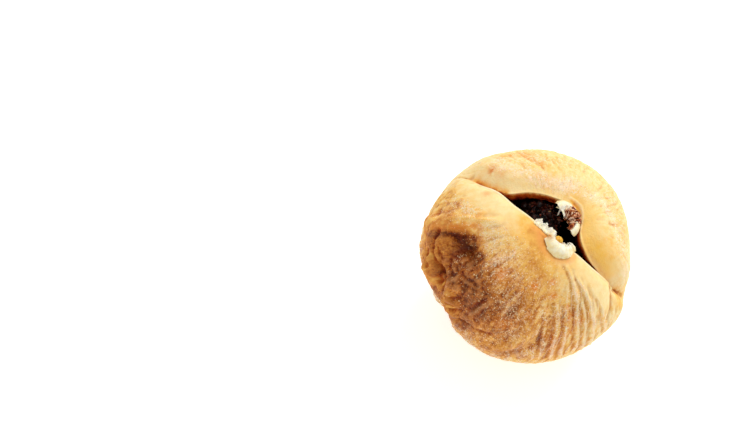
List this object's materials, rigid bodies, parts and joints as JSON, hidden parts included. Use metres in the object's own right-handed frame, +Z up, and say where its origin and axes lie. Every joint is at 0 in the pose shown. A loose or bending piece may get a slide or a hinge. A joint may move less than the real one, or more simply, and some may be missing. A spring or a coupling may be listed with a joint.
{
  "type": "dried fig",
  "caption": "Whole dried fig lying with its split mouth up, with papery eye scales, dried pulp, seeds and a short stalk stub.",
  "frame": {"origin": "On the table, under the middle of the fruit's bounding box, inside the flat patch that it rests on", "axes": "+Z up from the table; the split runs from the -X, +Y side to the +X, -Y side, and the mouth opens upwards"},
  "size_m": [0.0258, 0.0264, 0.0232],
  "materials": {
    "skin": "dry wrinkled skin with pale sugar bloom",
    "pulp": "dark sticky dried pulp, half gloss",
    "stalk": "dry, fibrous",
    "eye_scales": "dry, papery",
    "seeds": "smooth, half gloss"
  },
  "bodies": {
    "root": {"fig_body": "skin", "pulp": "pulp", "stalk": "stalk", "near_eye_scale_1": "eye_scales", "near_eye_scale_2": "eye_scales", "near_eye_scale_3": "eye_scales", "near_eye_scale_4": "eye_scales", "near_eye_scale_5": "eye_scales", "far_eye_scale_1": "eye_scales", "far_eye_scale_2": "eye_scales", "far_eye_scale_3": "eye_scales", "far_eye_scale_4": "eye_scales", "far_eye_scale_5": "eye_scales", "seed_1": "seeds", "seed_2": "seeds", "seed_3": "seeds", "seed_4": "seeds", "seed_5": "seeds"}
  },
  "joints": []
}
